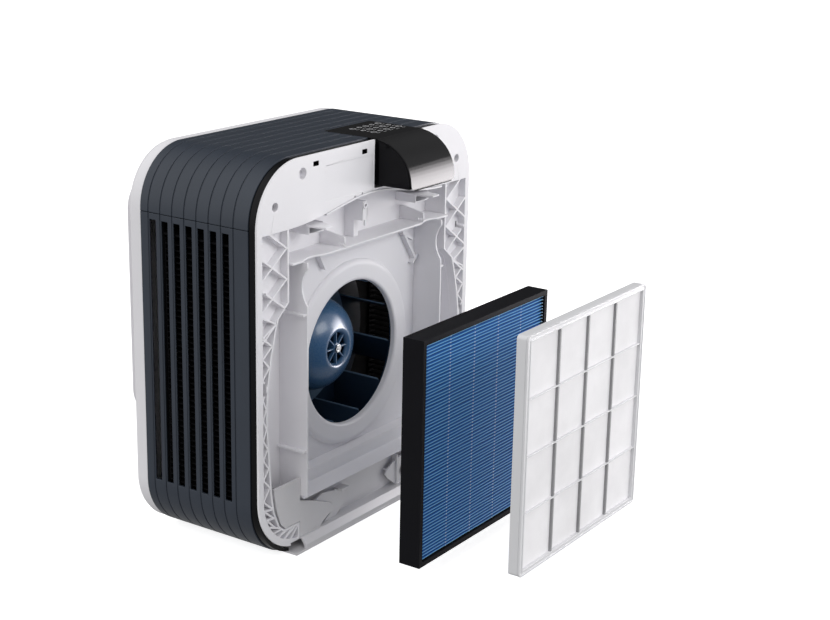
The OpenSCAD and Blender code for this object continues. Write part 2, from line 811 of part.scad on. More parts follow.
module dust_sensor() {
    color("#2b2b2e") difference() {
        block([-185, motor_plate_y + 3, 270], [-150, motor_plate_y + 23, 315]);
        rod_y(4, motor_plate_y + 2, motor_plate_y + 24, -167, 292);
    }
}

// ---------- rear ----------

module cover_slab(inset, y) {
    standing(y - 0.5, y) translate([0, body_h / 2])
        rounded_rect(body_w - 2 * inset, body_h - 2 * inset, corner_r - inset, $fn = 32);
}

module cover_form(inset) {
    hull() {
        cover_slab(inset + 1, wrap_rear + 0.5);
        cover_slab(inset + 0.5, 93 - inset);
        cover_slab(inset + 2.5, 97.5 - inset);
        cover_slab(inset + 8, cover_back - inset);
    }
}

module rear_cover() {
    color("#f2f2f5") difference() {
        cover_form(0);
        difference() {
            cover_form(2.5);
            block([-body_w, cover_back - 2.5, 0], [body_w, cover_back + 10, body_h]);
        }
        block([-body_w, wrap_rear - 5, -5], [body_w, wrap_rear + 0.1, body_h + 5]);
        block([149.7, 78, 29.7], [178.3, cover_back + 1, 50.3]);
    }
}

module rear_panel() {
    color("#f4f4f7") difference() {
        hull() {
            standing(cover_back, cover_back + 1) translate([0, 284]) rounded_rect(388, 296, 40, $fn = 32);
            standing(panel_back - 4, panel_back - 3) translate([0, 284]) rounded_rect(400, 300, 42, $fn = 32);
            standing(panel_back - 1, panel_back) translate([0, 284]) rounded_rect(392, 292, 38, $fn = 32);
        }
        for (s = [-1, 1], i = [0:5])
            block([s * 190 - 14, cover_back + 3, 180 + 36 * i], [s * 190 + 14, cover_back + 6, 206 + 36 * i]);
    }
}

// ---------- filters ----------

module hepa_at() { translate([0, -hepa_out, hepa_low]) children(); }
module pre_at() { translate([0, -pre_out, pre_low]) children(); }

hepa_rim = 6;
bead_n = 6;                                 // glue lines down the pleats, one on each side border

module hepa_frame() {
    color("#26272a") hepa_at() difference() {
        standing(-hepa_t / 2, hepa_t / 2) difference() {
            square([hepa_w, hepa_h], center = true);
            square([hepa_w - 2 * hepa_rim, hepa_h - 2 * hepa_rim], center = true);
        }
        gasket_ring(1);
    }
}

module hepa_media() {
    inner_w = hepa_w - 2 * hepa_rim;
    inner_h = hepa_h - 2 * hepa_rim;
    pitch = inner_h / pleat_n;
    fold = hepa_t - 5;
    slant = 9;                              // paper thickness measured along the fold
    color("#2f6db5") hepa_at() along_x(-inner_w / 2, inner_w / 2) polygon(concat(
        [for (i = [0:2 * pleat_n])
            [i % 2 == 0 ? -fold / 2 : fold / 2 - slant, -inner_h / 2 + pitch * i / 2]],
        [for (i = [2 * pleat_n:-1:0])
            [i % 2 == 0 ? -fold / 2 + slant : fold / 2, -inner_h / 2 + pitch * i / 2]]));
}

module hepa_beads() {
    span = hepa_w - 2 * hepa_rim - 2;
    half_h = hepa_h / 2 - hepa_rim;
    color("#8fc2e8") hepa_at() for (i = [0:bead_n - 1])
        translate([-span / 2 + span * i / (bead_n - 1), 0, 0])
            block([-0.7, -hepa_t / 2 + 1.4, -half_h], [0.7, -hepa_t / 2 + 2.4, half_h]);
}

module gasket_ring(over) {
    standing(hepa_t / 2 - 1.2, hepa_t / 2 + over) difference() {
        square([hepa_w - 3, hepa_h - 3], center = true);
        square([hepa_w - 9, hepa_h - 9], center = true);
    }
}

module hepa_gasket() {
    color("#1a1a1b") hepa_at() gasket_ring(0);
}

pre_rim = 7;
pre_cells = 4;

module prefilter_frame() {
    color("#e9e9ec") pre_at() {
        standing(-pre_t / 2, pre_t / 2) difference() {
            rounded_rect(pre_w, pre_h, 5);
            square([pre_w - 2 * pre_rim, pre_h - 2 * pre_rim], center = true);
        }
    }
}

module prefilter_grid() {
    inner_w = pre_w - 2 * pre_rim;
    inner_h = pre_h - 2 * pre_rim;
    color("#e9e9ec") pre_at() for (i = [1:pre_cells - 1]) {
        translate([-inner_w / 2 + inner_w * i / pre_cells, 0, 0])
            block([-1.6, -pre_t / 2 + 0.5, -inner_h / 2], [1.6, -pre_t / 2 + 4, inner_h / 2]);
        translate([0, 0, -inner_h / 2 + inner_h * i / pre_cells])
            block([-inner_w / 2, -pre_t / 2 + 0.5, -1.6], [inner_w / 2, -pre_t / 2 + 4, 1.6]);
    }
}

module prefilter_mesh() {
    color("#f4f4f5") pre_at()
        block([-pre_w / 2 + pre_rim, -pre_t / 2 + 4, -pre_h / 2 + pre_rim],
            [pre_w / 2 - pre_rim, -pre_t / 2 + 4.8, pre_h / 2 - pre_rim]);
}

wrap_top();
wrap_left();
wrap_right();
rim_band();
base_plate();
base_pads();
front_frame();
well_wall_left();
well_wall_right();
well_wall_top();
frame_screws();
chassis_plate();
tray_side_left();
tray_side_right();
tray_shelf();
tray_ledge();
front_apron();
inlet_bellmouth();
screw_post();
latch_tongue_left();
latch_tongue_right();
interlock_switch();
interlock_plunger();
display_housing();
display_window();
display_board();
touch_panel();
chamber_roof();
chamber_floor();
outlet_guard_left();
outlet_guard_right();
motor_plate();
motor_screws();
motor_can();
motor_stator();
front_bearing();
rear_bearing();
motor_rotor();
motor_shaft();
impeller_hub();
hub_spokes();
impeller_blades();
impeller_backplate();
impeller_shroud();
hub_nut();
control_board();
power_board();
power_inlet();
dust_sensor();
rear_cover();
rear_panel();
hepa_frame();
hepa_media();
hepa_beads();
hepa_gasket();
prefilter_frame();
prefilter_grid();
prefilter_mesh();
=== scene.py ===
"""Looks of the air purifier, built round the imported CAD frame.

Every length is in metres. +Z is up, the filter side faces -Y, +X is to the right seen from
that side. MM turns the design's millimetres into metres.
"""

import json
import math
import random

import bmesh
import bpy
from mathutils import Matrix, Vector


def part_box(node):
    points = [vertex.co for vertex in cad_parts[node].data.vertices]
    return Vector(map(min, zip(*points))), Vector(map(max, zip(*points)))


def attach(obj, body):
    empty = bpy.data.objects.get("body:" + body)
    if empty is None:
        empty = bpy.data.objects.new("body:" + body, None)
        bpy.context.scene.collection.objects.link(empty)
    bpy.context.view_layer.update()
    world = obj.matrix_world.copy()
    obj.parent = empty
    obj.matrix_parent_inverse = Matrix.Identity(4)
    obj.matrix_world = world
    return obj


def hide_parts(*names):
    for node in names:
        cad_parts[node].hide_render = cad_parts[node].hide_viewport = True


MM = 0.001
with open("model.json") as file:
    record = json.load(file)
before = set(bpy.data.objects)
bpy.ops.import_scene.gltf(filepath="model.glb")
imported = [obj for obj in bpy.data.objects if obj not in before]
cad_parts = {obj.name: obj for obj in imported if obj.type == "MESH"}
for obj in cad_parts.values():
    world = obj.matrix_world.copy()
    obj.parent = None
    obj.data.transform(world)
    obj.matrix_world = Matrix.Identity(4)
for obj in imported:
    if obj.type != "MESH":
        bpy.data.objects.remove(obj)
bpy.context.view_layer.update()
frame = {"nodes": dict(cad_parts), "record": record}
NODES = frame["nodes"]


# ---------- camera, floor and light ----------

# The camera: azimuth, elevation and roll in degrees, its place, its lens and sensor in millimetres.
CAMERA_TURN = (-55.79, 16.42, 1.16)
CAMERA_PLACE = (-1.5416, -1.20605, 0.82416)
CAMERA_LENS = 71.44
CAMERA_SENSOR = 36

# The light all round, and the soft lobes added to it. Each lobe has its direction, the cosines
# from that direction where it starts and where it is full, and its power. The first is a dark
# one at the right rear, which keeps the top of the display black.
BASE_LIGHT = 0.42
LOBES = (
    ((0.83, 0.3, 0.45), 0.7, 0.93, -0.36),
    ((0.5, -0.75, 0.45), 0.0, 0.95, 0.55),
    ((-0.72, 0.35, 0.60), 0.4, 0.98, 1.15),
)

# The strips of the low panel, from the lowest up.
PANEL_POWERS = (11, 10.5, 9.5, 7.0, 4.0, 1.5)
PANEL_STRIP = 0.16
PANEL_BOTTOM = 0.10
PANEL_TINT = (1.0, 0.96, 0.98)

FLOOR_HALF = 14
FLOOR_GLOW = 0.8
WHITE = (1, 1, 1, 1)


def add_camera():
    """A camera at the photographed angle: left of the front and a little above."""
    azimuth, elevation, roll = (math.radians(angle) for angle in CAMERA_TURN)
    back = Vector(
        (
            math.sin(azimuth) * math.cos(elevation),
            -math.cos(azimuth) * math.cos(elevation),
            math.sin(elevation),
        )
    )
    level = Vector((math.cos(azimuth), math.sin(azimuth), 0))
    up = back.cross(level)
    right = math.cos(roll) * level + math.sin(roll) * up
    upright = -math.sin(roll) * level + math.cos(roll) * up
    camera = bpy.data.objects.new("camera", bpy.data.cameras.new("camera"))
    bpy.context.scene.collection.objects.link(camera)
    camera.data.sensor_width = CAMERA_SENSOR
    camera.data.lens = CAMERA_LENS
    camera.data.clip_end = 50
    turn = Matrix((right, upright, back)).transposed().to_4x4()
    camera.matrix_world = Matrix.Translation(CAMERA_PLACE) @ turn
    bpy.context.scene.camera = camera


def add_area(name, place, aim, size, power, colour=(1, 1, 1), lights=True):
    """A soft rectangular lamp at place, facing aim, that the camera doesn't see.

    With lights off it only shows in glossy surfaces.
    """
    lamp = bpy.data.lights.new(name, "AREA")
    lamp.shape = "RECTANGLE"
    lamp.size, lamp.size_y = size
    lamp.energy = power
    lamp.color = colour
    holder = bpy.data.objects.new(name, lamp)
    holder.location = place
    holder.rotation_mode = "QUATERNION"
    holder.rotation_quaternion = (Vector(aim) - Vector(place)).to_track_quat("-Z", "Y")
    holder.visible_camera = False
    holder.visible_diffuse = lights
    bpy.context.scene.collection.objects.link(holder)


def add_low_panel():
    """A low panel at the front right that shows in gloss, bright low down and fading upwards."""
    for i, power in enumerate(PANEL_POWERS):
        place = Vector((1.45, -1.12, PANEL_BOTTOM + PANEL_STRIP * i))
        aim = Vector((0.1, -0.15, place.z))
        add_area(f"low_panel_{i}", place, aim, (1.1, PANEL_STRIP), power, PANEL_TINT, lights=False)


def add_world():
    """A white studio: plain white behind the object, and its light graded by the lobes."""
    world = bpy.data.worlds.new("studio")
    bpy.context.scene.world = world
    world.use_nodes = True
    tree = world.node_tree
    seen = tree.nodes["Background"]
    seen.inputs["Color"].default_value = WHITE
    seen.inputs["Strength"].default_value = 1.0
    lit = tree.nodes.new("ShaderNodeBackground")
    where = tree.nodes.new("ShaderNodeTexCoord")
    total = None
    for toward, start, full, power in LOBES:
        side = tree.nodes.new("ShaderNodeVectorMath")
        side.operation = "DOT_PRODUCT"
        side.inputs[1].default_value = Vector(toward).normalized()
        grade = tree.nodes.new("ShaderNodeMapRange")
        grade.interpolation_type = "SMOOTHSTEP"
        grade.inputs["From Min"].default_value = start
        grade.inputs["From Max"].default_value = full
        grade.inputs["To Max"].default_value = power
        tree.links.new(where.outputs["Generated"], side.inputs[0])
        tree.links.new(side.outputs["Value"], grade.inputs["Value"])
        join = tree.nodes.new("ShaderNodeMath")
        join.operation = "ADD"
        join.inputs[1].default_value = BASE_LIGHT
        if total is not None:
            tree.links.new(total, join.inputs[1])
        tree.links.new(grade.outputs["Result"], join.inputs[0])
        total = join.outputs["Value"]
    path = tree.nodes.new("ShaderNodeLightPath")
    mix = tree.nodes.new("ShaderNodeMixShader")
    tree.links.new(total, lit.inputs["Strength"])
    tree.links.new(path.outputs["Is Camera Ray"], mix.inputs["Fac"])
    tree.links.new(lit.outputs[0], mix.inputs[1])
    tree.links.new(seen.outputs[0], mix.inputs[2])
    tree.links.new(mix.outputs[0], tree.nodes["World Output"].inputs["Surface"])


def add_floor():
    """A pale floor that glows a little, so that it is white up to the horizon.

    It takes shadows, but throws no light back at the object.
    """
    sheet = Shape()
    sheet.grid([[(x, y, 0) for x in (-FLOOR_HALF, FLOOR_HALF)] for y in (-FLOOR_HALF, FLOOR_HALF)])
    data = bpy.data.meshes.new("floor")
    data.from_pydata(sheet.points, [], sheet.faces)
    floor = bpy.data.objects.new("floor", data)
    bpy.context.scene.collection.objects.link(floor)
    look = surface("floor", (0.9, 0.9, 0.9), 0.6, depth=0.01, mottle=0.003, Emission_Strength=FLOOR_GLOW)
    look.node_tree.nodes["Principled BSDF"].inputs["Emission Color"].default_value = WHITE
    data.materials.append(look)
    floor.visible_glossy = False
    floor.visible_diffuse = False


# ---------- materials ----------

# Each finish: its colour, its roughness and what differs from surface()'s plain values.
FINISHES = {
    "slate_plastic": ((0.036, 0.045, 0.062), 0.32, dict(grain=1400, depth=0.02, specular=0.34)),
    "black_trim": ((0.003, 0.003, 0.004), 0.18, dict(depth=0.005, specular=0.14)),
    "white_plastic": ((0.86, 0.85, 0.88), 0.45, dict(depth=0.012, mottle=0.012, specular=0.1)),
    "base_plastic": ((0.68, 0.67, 0.69), 0.42, dict(depth=0.02, mottle=0.02)),
    "rubber_pads": ((0.02, 0.02, 0.02), 0.75, dict(grain=2500, depth=0.04)),
    "steel": ((0.62, 0.62, 0.63), 0.24, dict(grain=1800, depth=0.01, Metallic=1.0)),
    "inner_plastic": ((0.004, 0.004, 0.005), 0.8, dict(specular=0.08)),
    "motor_casing": ((0.42, 0.43, 0.45), 0.45, dict(Metallic=1.0)),
    "copper_winding": ((0.50, 0.20, 0.08), 0.35, dict(grain=2600, Metallic=1.0)),
    "display_gloss": ((0.006, 0.006, 0.007), 0.12, dict(depth=0.001, specular=0.15, Coat_Weight=0.06)),
    "touch_gloss": ((0.003, 0.003, 0.004), 0.16, dict(depth=0.002, specular=0.15)),
    "circuit_board": ((0.02, 0.12, 0.05), 0.4, dict(grain=700)),
    "hub_blue": ((0.058, 0.138, 0.270), 0.28, dict(depth=0.006, Coat_Weight=0.2)),
    "blade_blue": ((0.012, 0.028, 0.056), 0.38, dict(depth=0.015)),
    "filter_frame": ((0.008, 0.008, 0.010), 0.62, dict(grain=2200, depth=0.05, specular=0.06)),
    "filter_media": ((0.02, 0.13, 0.40), 0.8, dict(grain=3000, depth=0.08)),
    "filter_beads": ((0.52, 0.74, 0.95), 0.3, {}),
    "prefilter_white": ((0.74, 0.74, 0.76), 0.4, dict(depth=0.015, mottle=0.015)),
    # A darker grey copy of the prefilter's white plastic for its posts: painted shade on their shadowed
    # sides.
    "prefilter_post_shade": ((0.30, 0.30, 0.31), 0.45, dict(depth=0.01, mottle=0.02)),
    "prefilter_net": ((0.92, 0.91, 0.93), 0.8, dict(grain=2600, depth=0.06, Alpha=0.96)),
}

# Slow colour drift over a moulding, in features per metre.
PATCH = 14

# Colours of the pleated paper: a painted highlight on its crests, its blue on the folds' sides and painted
# shade deep between them. The stops run from the front of the pack to its back.
CREST_HIGHLIGHT = (0.22, 0.62, 0.98, 1)
FOLD = (0.002, 0.15, 0.60, 1)
DEEP_SHADE = (0.003, 0.015, 0.06, 1)
PLEAT_STOPS = ((0, CREST_HIGHLIGHT), (0.04, FOLD), (0.3, DEEP_SHADE), (0.7, DEEP_SHADE), (0.97, FOLD), (1, CREST_HIGHLIGHT))

# The painted highlight on the blades' inner edges, between these two radii from the fan's axis.
BLADE_EDGE_HIGHLIGHT = (0.16, 0.24, 0.34, 1)
BLADE_EDGE_IN = 0.0896
BLADE_EDGE_OUT = 0.0904

# Colour sockets of a mix node, by number because several of its sockets share a name.
MIX_A = 6
MIX_B = 7
MIX_RESULT = 2


def node(tree, kind, **values):
    """A shader node with its plain inputs set by name."""
    made = tree.nodes.new(kind)
    for name, value in values.items():
        made.inputs[name.replace("_", " ")].default_value = value
    return made


def shade(colour, factor):
    """A colour made lighter or darker, with full alpha."""
    return tuple(min(1, c * factor) for c in colour[:3]) + (1,)


def surface(name, colour, rough, grain=900, depth=0.03, mottle=0.06, specular=0.5, **shader):
    """A moulded surface: colour that drifts a little, a fine grain and uneven gloss.

    grain is in features per metre, depth in millimetres. shader sets other shader inputs.
    """
    material = bpy.data.materials.new(name)
    material.use_nodes = True
    tree = material.node_tree
    main = tree.nodes["Principled BSDF"]
    main.inputs["Specular IOR Level"].default_value = specular
    for socket, value in shader.items():
        main.inputs[socket.replace("_", " ")].default_value = value
    place = tree.nodes.new("ShaderNodeTexCoord")
    drift = node(tree, "ShaderNodeTexNoise", Scale=PATCH, Detail=4, Roughness=0.6)
    fine = node(tree, "ShaderNodeTexNoise", Scale=grain, Detail=3, Roughness=0.7)
    tint = tree.nodes.new("ShaderNodeValToRGB")
    tint.color_ramp.elements[0].position = 0.3
    tint.color_ramp.elements[0].color = shade(colour, 1 - mottle)
    tint.color_ramp.elements[1].position = 0.7
    tint.color_ramp.elements[1].color = shade(colour, 1 + mottle)
    gloss = node(
        tree,
        "ShaderNodeMapRange",
        From_Min=0.3,
        From_Max=0.7,
        To_Min=max(0.02, rough - 0.05),
        To_Max=rough + 0.05,
    )
    bump = node(tree, "ShaderNodeBump", Strength=0.5, Distance=depth * MM)
    for texture in (drift, fine):
        tree.links.new(place.outputs["Object"], texture.inputs["Vector"])
    tree.links.new(drift.outputs["Fac"], tint.inputs["Fac"])
    tree.links.new(tint.outputs["Color"], main.inputs["Base Color"])
    tree.links.new(fine.outputs["Fac"], gloss.inputs["Value"])
    tree.links.new(gloss.outputs["Result"], main.inputs["Roughness"])
    tree.links.new(fine.outputs["Fac"], bump.inputs["Height"])
    tree.links.new(bump.outputs["Normal"], main.inputs["Normal"])
    return material


def make_materials():
    """One material per finish."""
    made = {}
    for name, (colour, rough, extra) in FINISHES.items():
        made[name] = surface(name, colour, rough, **extra)
    # Painted highlight on the blades' inner edges.
    paint_blade_edge_highlight(made["blade_blue"])
    # Painted highlight on the pleats' crests and painted shade deep in their folds.
    shade_pleats_by_depth(made["filter_media"])
    return made


def paint_blade_edge_highlight(material):
    """Paints a highlight on the blades' edges nearest the fan's axis, lighter than their sides."""
    tree = material.node_tree
    low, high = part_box("impeller_backplate")
    main = tree.nodes["Principled BSDF"]
    place = tree.nodes.new("ShaderNodeTexCoord")
    from_axis = tree.nodes.new("ShaderNodeVectorMath")
    from_axis.operation = "SUBTRACT"
    from_axis.inputs[1].default_value = (0, 0, (low.z + high.z) / 2)
    flat = tree.nodes.new("ShaderNodeVectorMath")
    flat.operation = "MULTIPLY"
    flat.inputs[1].default_value = (1, 0, 1)
    length = tree.nodes.new("ShaderNodeVectorMath")
    length.operation = "LENGTH"
    limits = dict(From_Min=BLADE_EDGE_IN, From_Max=BLADE_EDGE_OUT, To_Min=1.0, To_Max=0.0)
    edge = node(tree, "ShaderNodeMapRange", **limits)
    # Mixes in the painted highlight colour near the fan's axis.
    mix = tree.nodes.new("ShaderNodeMix")
    mix.data_type = "RGBA"
    mix.inputs[MIX_B].default_value = BLADE_EDGE_HIGHLIGHT
    plain = main.inputs["Base Color"].links[0].from_socket
    tree.links.new(place.outputs["Object"], from_axis.inputs[0])
    tree.links.new(from_axis.outputs["Vector"], flat.inputs[0])
    tree.links.new(flat.outputs["Vector"], length.inputs[0])
    tree.links.new(length.outputs["Value"], edge.inputs["Value"])
    tree.links.new(edge.outputs["Result"], mix.inputs["Factor"])
    tree.links.new(plain, mix.inputs[MIX_A])
    tree.links.new(mix.outputs[MIX_RESULT], main.inputs["Base Color"])


def shade_pleats_by_depth(material):
    """Paints light and shade on the pleated paper by how far each point lies behind the front of the pack: a
    painted highlight on the crests, painted shade deep in the folds.
    """
    tree = material.node_tree
    low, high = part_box("hepa_media")
    place = tree.nodes.new("ShaderNodeTexCoord")
    parts = tree.nodes.new("ShaderNodeSeparateXYZ")
    scale = node(tree, "ShaderNodeMapRange", From_Min=low.y, From_Max=high.y)
    tint = tree.nodes.new("ShaderNodeValToRGB")
    while len(tint.color_ramp.elements) < len(PLEAT_STOPS):
        tint.color_ramp.elements.new(0.5)
    for element, (position, colour) in zip(tint.color_ramp.elements, PLEAT_STOPS):
        element.position = position
        element.color = colour
    tree.links.new(place.outputs["Object"], parts.inputs["Vector"])
    tree.links.new(parts.outputs["Y"], scale.inputs["Value"])
    tree.links.new(scale.outputs["Result"], tint.inputs["Fac"])
    tree.links.new(tint.outputs["Color"], tree.nodes["Principled BSDF"].inputs["Base Color"])


# ---------- mesh helpers ----------


def turns(count):
    """Evenly spaced angles round a full circle."""
    return [2 * math.pi * i / count for i in range(count)]


def rounded(low, high, radius, steps=6):
    """The outline of a rectangle with round corners, between two opposite corners."""
    out = []
    middles = ((high[0] - radius, high[1] - radius), (low[0] + radius, high[1] - radius))
    middles += ((low[0] + radius, low[1] + radius), (high[0] - radius, low[1] + radius))
    for quarter, (u, v) in enumerate(middles):
        for i in range(steps + 1):
            a = math.pi / 2 * (quarter + i / steps)
            out.append((u + radius * math.cos(a), v + radius * math.sin(a)))
    return out


def upright(u, v, w):
    """Stands an outline up in the X-Z plane, with its depth along Y."""
    return (u, w, v)


def level(u, v, w):
    """Lays an outline flat in the X-Y plane, with its depth along Z."""
    return (u, v, w)


class Shape:
    """Vertices and faces gathered for one piece."""

    def __init__(self):
        self.points = []
        self.faces = []

    def add(self, points, faces):
        start = len(self.points)
        self.points += [tuple(p) for p in points]
        self.faces += [[start + i for i in face] for face in faces]

    def grid(self, rows, loop=False, caps=False):
        """A skin through rows of points. loop closes each row, caps closes the two ends."""
        count = len(rows[0])
        span = count if loop else count - 1
        faces = []
        for i in range(len(rows) - 1):
            for j in range(span):
                n = (j + 1) % count
                faces.append([i * count + j, i * count + n, (i + 1) * count + n, (i + 1) * count + j])
        if caps:
            last = (len(rows) - 1) * count
            faces += [list(range(count)), [last + j for j in range(count)]]
        self.add([p for row in rows for p in row], faces)

    def box(self, low, high):
        """A box between two opposite corners."""
        xs, ys, zs = zip(low, high)
        corners = [Vector((x, y, z)) for x in xs for y in ys for z in zs]
        sides = [[0, 1, 3, 2], [4, 6, 7, 5], [0, 4, 5, 1], [2, 3, 7, 6], [0, 2, 6, 4], [1, 5, 7, 3]]
        self.add(corners, sides)

    def prism(self, outline, low, high, at):
        """A flat outline given depth from low to high; at(u, v, w) places each point."""
        self.grid([[at(u, v, w) for u, v in outline] for w in (low, high)], loop=True, caps=True)

    def blob(self, centre, radii, around=8, up=4):
        """A small ellipsoid."""
        rows = []
        for i in range(1, up):
            b = math.pi * i / up
            out = math.sin(b)
            ring = [(out * math.cos(a), out * math.sin(a), math.cos(b)) for a in turns(around)]
            rows.append([tuple(centre[k] + radii[k] * p[k] for k in range(3)) for p in ring])
        self.grid(rows, loop=True, caps=True)

    def turned(self, profile, centre, steps):
        """A closed profile of (radius, y) points turned round an axis along Y through (x, z)."""
        x, z = centre
        rows = [[(x + r * math.cos(a), y, z + r * math.sin(a)) for r, y in profile] for a in turns(steps)]
        rows.append(rows[0])
        self.grid(rows, loop=True)


def finish_mesh(piece, bevel, angle=32):
    """Rounds the hard edges of a piece and shades its broad faces flat."""
    piece.data.shade_smooth()
    if bevel:
        edge = piece.modifiers.new("edge", "BEVEL")
        edge.width = bevel
        edge.segments = 2
        edge.limit_method = "ANGLE"
        edge.angle_limit = math.radians(angle)
        edge.miter_outer = "MITER_ARC"
        edge.use_clamp_overlap = False
    weight = piece.modifiers.new("shade", "WEIGHTED_NORMAL")
    weight.weight = 80


def make_piece(name, shape, body, slot, replaces=(), bevel=0.0, angle=32):
    """Turns a Shape into a Blender piece that rides on a CAD body. angle limits the bevel."""
    data = bpy.data.meshes.new(name)
    data.from_pydata(shape.points, [], shape.faces)
    work = bmesh.new()
    work.from_mesh(data)
    bmesh.ops.remove_doubles(work, verts=work.verts, dist=1e-7)
    bmesh.ops.recalc_face_normals(work, faces=work.faces)
    work.to_mesh(data)
    work.free()
    piece = bpy.data.objects.new(name, data)
    bpy.context.scene.collection.objects.link(piece)
    piece.data.materials.append(MATERIALS[slot])
    finish_mesh(piece, bevel, angle)
    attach(piece, body)
    if replaces:
        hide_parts(*replaces)
    return piece


def refine(name, bevel=0.0, weld=True):
    """Keeps a CAD node and gives it its material and rounded edges."""
    piece = NODES[name]
    parts = frame["record"]["subparts"]
    slot = next(part["material_slot"] for part in parts if part["node"] == name)
    piece.data.materials.clear()
    piece.data.materials.append(MATERIALS[slot])
    if weld:
        join = piece.modifiers.new("join", "WELD")
        join.merge_threshold = 1e-6
        finish_mesh(piece, bevel)


# ---------- the wrap ----------

CORNER_R = 71 * MM
WRAP_T = 3 * MM
CORNER_STEPS = 20
GROOVES = 8
GROOVE_FIRST = 13 * MM
GROOVE_PITCH = 18 * MM
GROOVE_W = 1.6 * MM
GROOVE_DEPTH = 1.2 * MM
SLOT_W = 10.5 * MM
SLOT_LOW = 74 * MM
SLOT_HIGH = 390 * MM
WRAP_EDGE = 0.5 * MM
top_low, top_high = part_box("wrap_top")
side_low, side_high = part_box("wrap_right")
HALF_W = top_high.x
ROOF = top_high.z
WRAP_FRONT = top_low.y
WRAP_REAR = top_high.y

# The touch panel's pocket in the top shell.
panel_low, panel_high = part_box("touch_panel")
PANEL_GAP = 0.3 * MM
PANEL_LEFT = panel_low.x - PANEL_GAP
PANEL_RIGHT = panel_high.x + PANEL_GAP
PANEL_REAR = panel_high.y + PANEL_GAP
POCKET = 1.6 * MM


def groove_y(k):
    """Front edge of groove k, counted from the rear."""
    return WRAP_REAR - GROOVE_FIRST - k * GROOVE_PITCH


def arc(centre, radius, start, stop, steps):
    """Stations on a corner: each is (x, z, outward x, outward z)."""
    out = []
    for i in range(steps + 1):
        a = math.radians(start + (stop - start) * i / steps)
        nx, nz = math.cos(a), math.sin(a)
        out.append((centre[0] + radius * nx, centre[1] + radius * nz, nx, nz))
    return out


def inset(station, depth, y):
    """The point at a depth below a station of the wrap's outside."""
    x, z, nx, nz = station
    return (x - depth * nx, y, z - depth * nz)


def wrap_profile():
    """The wrap's cross section as (y, depth) points, and the point numbers of each slot."""
    outer = [(WRAP_REAR, 0)]
    slots = []
    for k in range(GROOVES):
        y = groove_y(k)
        outer += [(y + GROOVE_W, 0), (y + GROOVE_W, GROOVE_DEPTH), (y, GROOVE_DEPTH), (y, 0)]
        if k < GROOVES - 1:
            outer.append((y - SLOT_W, 0))
            slots.append([len(outer) - 3, len(outer) - 2, len(outer) - 1])
    outer.append((WRAP_FRONT, 0))
    inner = [(WRAP_FRONT, WRAP_T)]
    for k in reversed(range(GROOVES - 1)):
        inner += [(groove_y(k) - SLOT_W, WRAP_T), (groove_y(k), WRAP_T)]
        slots[k] += [len(outer) + len(inner) - 2, len(outer) + len(inner) - 1]
    inner.append((WRAP_REAR, WRAP_T))
    return outer + inner, slots


def wrap_side(side):
    """A side shell from the base, round the lower corner and up to the seam, with its slots."""
    s = -1 if side == "left" else 1
    stations = [(s * side_low.x, 0, 0, -1)]
    curve = arc((HALF_W - CORNER_R, CORNER_R), CORNER_R, -90, 0, CORNER_STEPS)
    stations += [(s * x, z, s * nx, nz) for x, z, nx, nz in curve]
    first = len(stations)
    stations += [(s * HALF_W, z, s, 0) for z in (SLOT_LOW, SLOT_HIGH, side_high.z)]
    profile, slots = wrap_profile()
    count = len(profile)
    shape = Shape()
    points = [inset(station, depth, y) for station in stations for y, depth in profile]
    gone = set()
    for a, top, _, inner_b, _ in slots:
        gone |= {a, top, inner_b}
    faces = []
    for i in range(len(stations) - 1):
        for j in range(count):
            if i == first and j in gone:
                continue
            n = (j + 1) % count
            faces.append([i * count + j, i * count + n, (i + 1) * count + n, (i + 1) * count + j])
    low, high = first * count, (first + 1) * count
    for a, top, b, inner_b, inner_a in slots:
        faces.append([low + a, low + inner_a, high + inner_a, high + a])
        faces.append([low + b, low + inner_b, high + inner_b, high + b])
        for row in (low, high):
            faces.append([row + a, row + top, row + b, row + inner_b, row + inner_a])
    last = (len(stations) - 1) * count
    faces += [list(range(count)), [last + j for j in range(count)]]
    shape.add(points, faces)
    make_piece(f"wrap_{side}_shell", shape, "housing", "slate_plastic", [f"wrap_{side}"], WRAP_EDGE)


def wrap_top():
    """The top shell with both upper corners and the touch panel's pocket."""
    stations = [(HALF_W, top_low.z, 1, 0)]
    stations += arc((HALF_W - CORNER_R, ROOF - CORNER_R), CORNER_R, 0, 90, CORNER_STEPS)
    flat_end = stations[-1]
    stations += arc((-HALF_W + CORNER_R, ROOF - CORNER_R), CORNER_R, 90, 180, CORNER_STEPS)
    stations.append((-HALF_W, top_low.z, -1, 0))
    profile, _ = wrap_profile()
    edge = next(i for i, (y, _) in enumerate(profile) if y < PANEL_REAR)
    profile[edge:edge] = [(PANEL_REAR, 0), (PANEL_REAR, 0)]
    sunk = [(y, max(depth, POCKET) if i > edge else depth) for i, (y, depth) in enumerate(profile)]
    rows = []
    for station in stations:
        rows.append([inset(station, depth, y) for y, depth in profile])
        if station is flat_end:
            pocket = ((PANEL_RIGHT, profile), (PANEL_RIGHT, sunk), (PANEL_LEFT, sunk), (PANEL_LEFT, profile))
            for x, section in pocket:
                rows.append([inset((x, ROOF, 0, 1), depth, y) for y, depth in section])
    shape = Shape()
    shape.grid(rows, loop=True, caps=True)
    make_piece("wrap_top_shell", shape, "housing", "slate_plastic", ["wrap_top"], WRAP_EDGE)


# ---------- touch panel and display ----------

